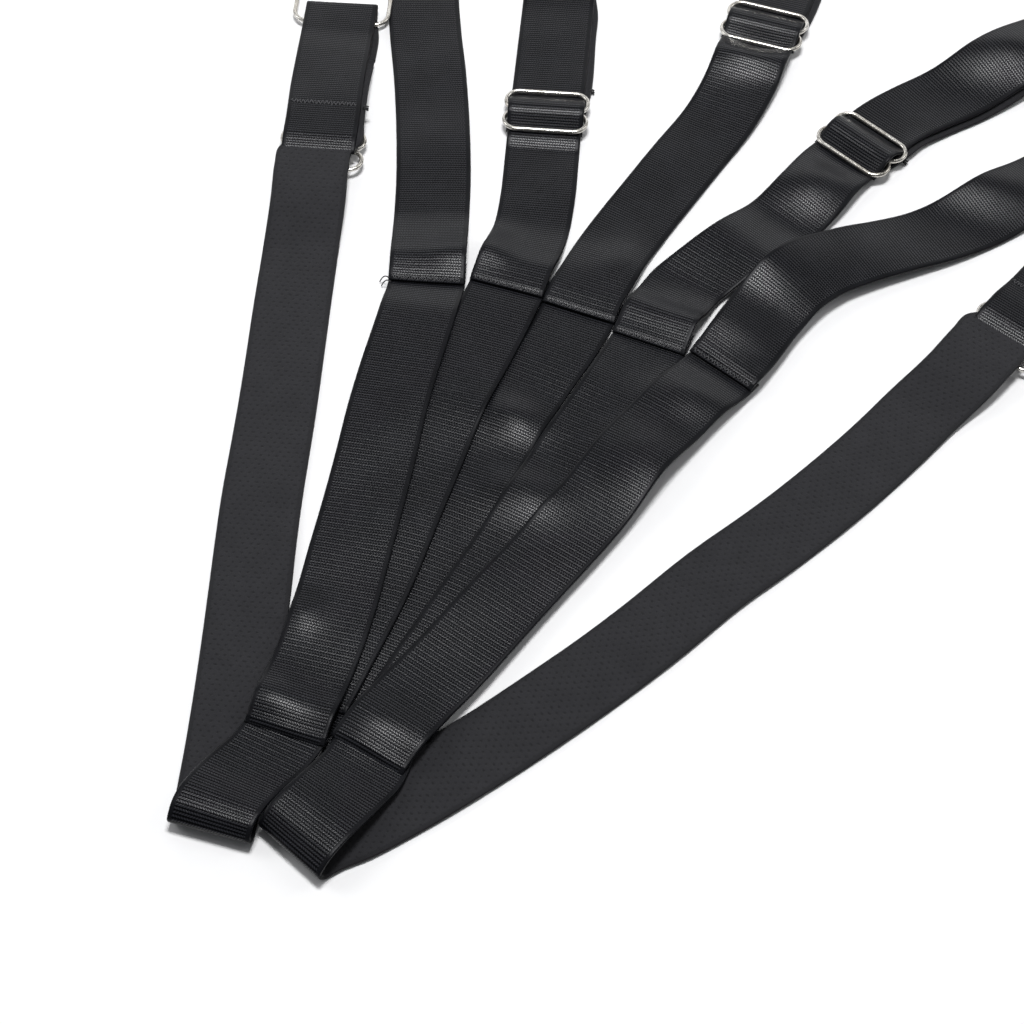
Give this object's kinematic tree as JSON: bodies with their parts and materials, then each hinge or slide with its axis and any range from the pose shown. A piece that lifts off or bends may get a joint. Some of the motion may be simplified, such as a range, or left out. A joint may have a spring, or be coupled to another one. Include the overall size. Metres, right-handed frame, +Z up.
{
  "type": "suspenders",
  "caption": "Black elastic suspender straps laid flat, fanning from one sewn junction, with wire slides to adjust them and a ring and a clip at each end.",
  "frame": {"origin": "middle of the laid-out set on the surface it rests on", "axes": "+Z up from the surface, +Y from the sewn junction towards the clips, +X to the right"},
  "size_m": [0.3543, 0.4457, 0.0084],
  "materials": {
    "webbing": "black elastic webbing, satin ribbed face and brushed back",
    "nickel_wire": "bright nickel-plated wire",
    "nickel_plate": "nickel-plated sheet steel",
    "steel_pin": "plain steel"
  },
  "bodies": {
    "straps": {"leg2_lower_strap": "webbing", "leg3_lower_strap": "webbing", "leg4_lower_strap": "webbing", "leg5_lower_strap": "webbing", "leg6_lower_strap": "webbing", "leg2_upper_strap": "webbing", "leg3_upper_strap": "webbing", "leg4_upper_strap": "webbing", "leg5_upper_strap": "webbing", "leg6_upper_strap": "webbing", "leg1_strap": "webbing", "leg7_strap": "webbing", "leg1_end_loop": "webbing", "leg3_end_loop": "webbing", "leg4_end_loop": "webbing", "leg5_end_loop": "webbing", "leg7_end_loop": "webbing"},
    "leg1_slider": {"leg1_slide": "nickel_wire", "leg1_bar_wrap": "webbing"},
    "leg3_slider": {"leg3_slide": "nickel_wire", "leg3_bar_wrap": "webbing"},
    "leg4_slider": {"leg4_slide": "nickel_wire", "leg4_bar_wrap": "webbing"},
    "leg5_slider": {"leg5_slide": "nickel_wire", "leg5_bar_wrap": "webbing"},
    "leg7_slider": {"leg7_slide": "nickel_wire", "leg7_bar_wrap": "webbing"},
    "leg1_ring_body": {"leg1_ring": "nickel_wire"},
    "leg1_clip": {"leg1_clip_plate": "nickel_plate", "leg1_clip_pin": "steel_pin"},
    "leg1_lever": {"leg1_clip_lever": "nickel_plate"},
    "leg2_ring_body": {"leg2_ring": "nickel_wire"},
    "leg2_clip": {"leg2_clip_plate": "nickel_plate", "leg2_clip_pin": "steel_pin"},
    "leg2_lever": {"leg2_clip_lever": "nickel_plate"},
    "leg3_ring_body": {"leg3_ring": "nickel_wire"},
    "leg3_clip": {"leg3_clip_plate": "nickel_plate", "leg3_clip_pin": "steel_pin"},
    "leg3_lever": {"leg3_clip_lever": "nickel_plate"},
    "leg4_ring_body": {"leg4_ring": "nickel_wire"},
    "leg4_clip": {"leg4_clip_plate": "nickel_plate", "leg4_clip_pin": "steel_pin"},
    "leg4_lever": {"leg4_clip_lever": "nickel_plate"},
    "leg5_ring_body": {"leg5_ring": "nickel_wire"},
    "leg5_clip": {"leg5_clip_plate": "nickel_plate", "leg5_clip_pin": "steel_pin"},
    "leg5_lever": {"leg5_clip_lever": "nickel_plate"},
    "leg6_ring_body": {"leg6_ring": "nickel_wire"},
    "leg6_clip": {"leg6_clip_plate": "nickel_plate", "leg6_clip_pin": "steel_pin"},
    "leg6_lever": {"leg6_clip_lever": "nickel_plate"},
    "leg7_ring_body": {"leg7_ring": "nickel_wire"},
    "leg7_clip": {"leg7_clip_plate": "nickel_plate", "leg7_clip_pin": "steel_pin"},
    "leg7_lever": {"leg7_clip_lever": "nickel_plate"}
  },
  "joints": [
    {"name": "leg1_adjust", "type": "slide", "parent": "straps", "child": "leg1_slider", "axis": [0.0872, 0.9962, 0], "range_m": [-0.012, 0.018]},
    {"name": "leg3_adjust", "type": "slide", "parent": "straps", "child": "leg3_slider", "axis": [0.0872, 0.9962, 0], "range_m": [-0.02, 0.03]},
    {"name": "leg4_adjust", "type": "slide", "parent": "straps", "child": "leg4_slider", "axis": [0.3256, 0.9455, 0], "range_m": [-0.003, 0.028]},
    {"name": "leg5_adjust", "type": "slide", "parent": "straps", "child": "leg5_slider", "axis": [0.6947, 0.7193, 0], "range_m": [-0.005, 0.005]},
    {"name": "leg7_adjust", "type": "slide", "parent": "straps", "child": "leg7_slider", "axis": [0.6428, 0.766, 0], "range_m": [-0.012, 0.008]},
    {"name": "leg1_ring_swing", "type": "hinge", "parent": "straps", "child": "leg1_ring_body", "pos_m": [-0.1407, 0.112, 0.0024], "axis": [0.9962, -0.0872, 0], "range_deg": [0, 90]},
    {"name": "leg1_clip_swing", "type": "hinge", "parent": "leg1_ring_body", "child": "leg1_clip", "pos_m": [-0.13896, 0.13192, 0.0024], "axis": [0.9962, -0.0872, 0], "range_deg": [0, 60]},
    {"name": "leg1_lever_open", "type": "hinge", "parent": "leg1_clip", "child": "leg1_lever", "pos_m": [-0.1366, 0.15882, 0.004], "axis": [-0.9962, 0.0872, 0], "range_deg": [0, 75]},
    {"name": "leg2_ring_swing", "type": "hinge", "parent": "straps", "child": "leg2_ring_body", "pos_m": [-0.1072, 0.1667, 0.0024], "axis": [0.9903, -0.1392, 0], "range_deg": [0, 90]},
    {"name": "leg2_clip_swing", "type": "hinge", "parent": "leg2_ring_body", "child": "leg2_clip", "pos_m": [-0.10442, 0.18651, 0.0024], "axis": [0.9903, -0.1392, 0], "range_deg": [0, 60]},
    {"name": "leg2_lever_open", "type": "hinge", "parent": "leg2_clip", "child": "leg2_lever", "pos_m": [-0.10066, 0.21324, 0.004], "axis": [-0.9903, 0.1392, 0], "range_deg": [0, 75]},
    {"name": "leg3_ring_swing", "type": "hinge", "parent": "straps", "child": "leg3_ring_body", "pos_m": [-0.0635, 0.1382, 0.0024], "axis": [0.9962, -0.0872, 0], "range_deg": [0, 90]},
    {"name": "leg3_clip_swing", "type": "hinge", "parent": "leg3_ring_body", "child": "leg3_clip", "pos_m": [-0.06176, 0.15812, 0.0024], "axis": [0.9962, -0.0872, 0], "range_deg": [0, 60]},
    {"name": "leg3_lever_open", "type": "hinge", "parent": "leg3_clip", "child": "leg3_lever", "pos_m": [-0.0594, 0.18502, 0.004], "axis": [-0.9962, 0.0872, 0], "range_deg": [0, 75]},
    {"name": "leg4_ring_swing", "type": "hinge", "parent": "straps", "child": "leg4_ring_body", "pos_m": [0.0255, 0.1659, 0.0024], "axis": [0.9455, -0.3256, 0], "range_deg": [0, 90]},
    {"name": "leg4_clip_swing", "type": "hinge", "parent": "leg4_ring_body", "child": "leg4_clip", "pos_m": [0.03201, 0.18481, 0.0024], "axis": [0.9455, -0.3256, 0], "range_deg": [0, 60]},
    {"name": "leg4_lever_open", "type": "hinge", "parent": "leg4_clip", "child": "leg4_lever", "pos_m": [0.0408, 0.21034, 0.004], "axis": [-0.9455, 0.3256, 0], "range_deg": [0, 75]},
    {"name": "leg5_ring_swing", "type": "hinge", "parent": "straps", "child": "leg5_ring_body", "pos_m": [0.1038, 0.101, 0.0024], "axis": [0.5519, -0.8339, 0], "range_deg": [0, 90]},
    {"name": "leg5_clip_swing", "type": "hinge", "parent": "leg5_ring_body", "child": "leg5_clip", "pos_m": [0.12048, 0.11204, 0.0024], "axis": [0.5519, -0.8339, 0], "range_deg": [0, 60]},
    {"name": "leg5_lever_open", "type": "hinge", "parent": "leg5_clip", "child": "leg5_lever", "pos_m": [0.14299, 0.12694, 0.004], "axis": [-0.5519, 0.8339, 0], "range_deg": [0, 75]},
    {"name": "leg6_ring_swing", "type": "hinge", "parent": "straps", "child": "leg6_ring_body", "pos_m": [0.1294, 0.0635, 0.0024], "axis": [0.6018, -0.7986, 0], "range_deg": [0, 90]},
    {"name": "leg6_clip_swing", "type": "hinge", "parent": "leg6_ring_body", "child": "leg6_clip", "pos_m": [0.14537, 0.07554, 0.0024], "axis": [0.6018, -0.7986, 0], "range_deg": [0, 60]},
    {"name": "leg6_lever_open", "type": "hinge", "parent": "leg6_clip", "child": "leg6_lever", "pos_m": [0.16694, 0.09179, 0.004], "axis": [-0.6018, 0.7986, 0], "range_deg": [0, 75]},
    {"name": "leg7_ring_swing", "type": "hinge", "parent": "straps", "child": "leg7_ring_body", "pos_m": [0.1208, 0.0142, 0.0024], "axis": [0.5736, -0.8192, 0], "range_deg": [0, 90]},
    {"name": "leg7_clip_swing", "type": "hinge", "parent": "leg7_ring_body", "child": "leg7_clip", "pos_m": [0.13718, 0.02567, 0.0024], "axis": [0.5736, -0.8192, 0], "range_deg": [0, 60]},
    {"name": "leg7_lever_open", "type": "hinge", "parent": "leg7_clip", "child": "leg7_lever", "pos_m": [0.1593, 0.04116, 0.004], "axis": [-0.5736, 0.8192, 0], "range_deg": [0, 75]}
  ]
}
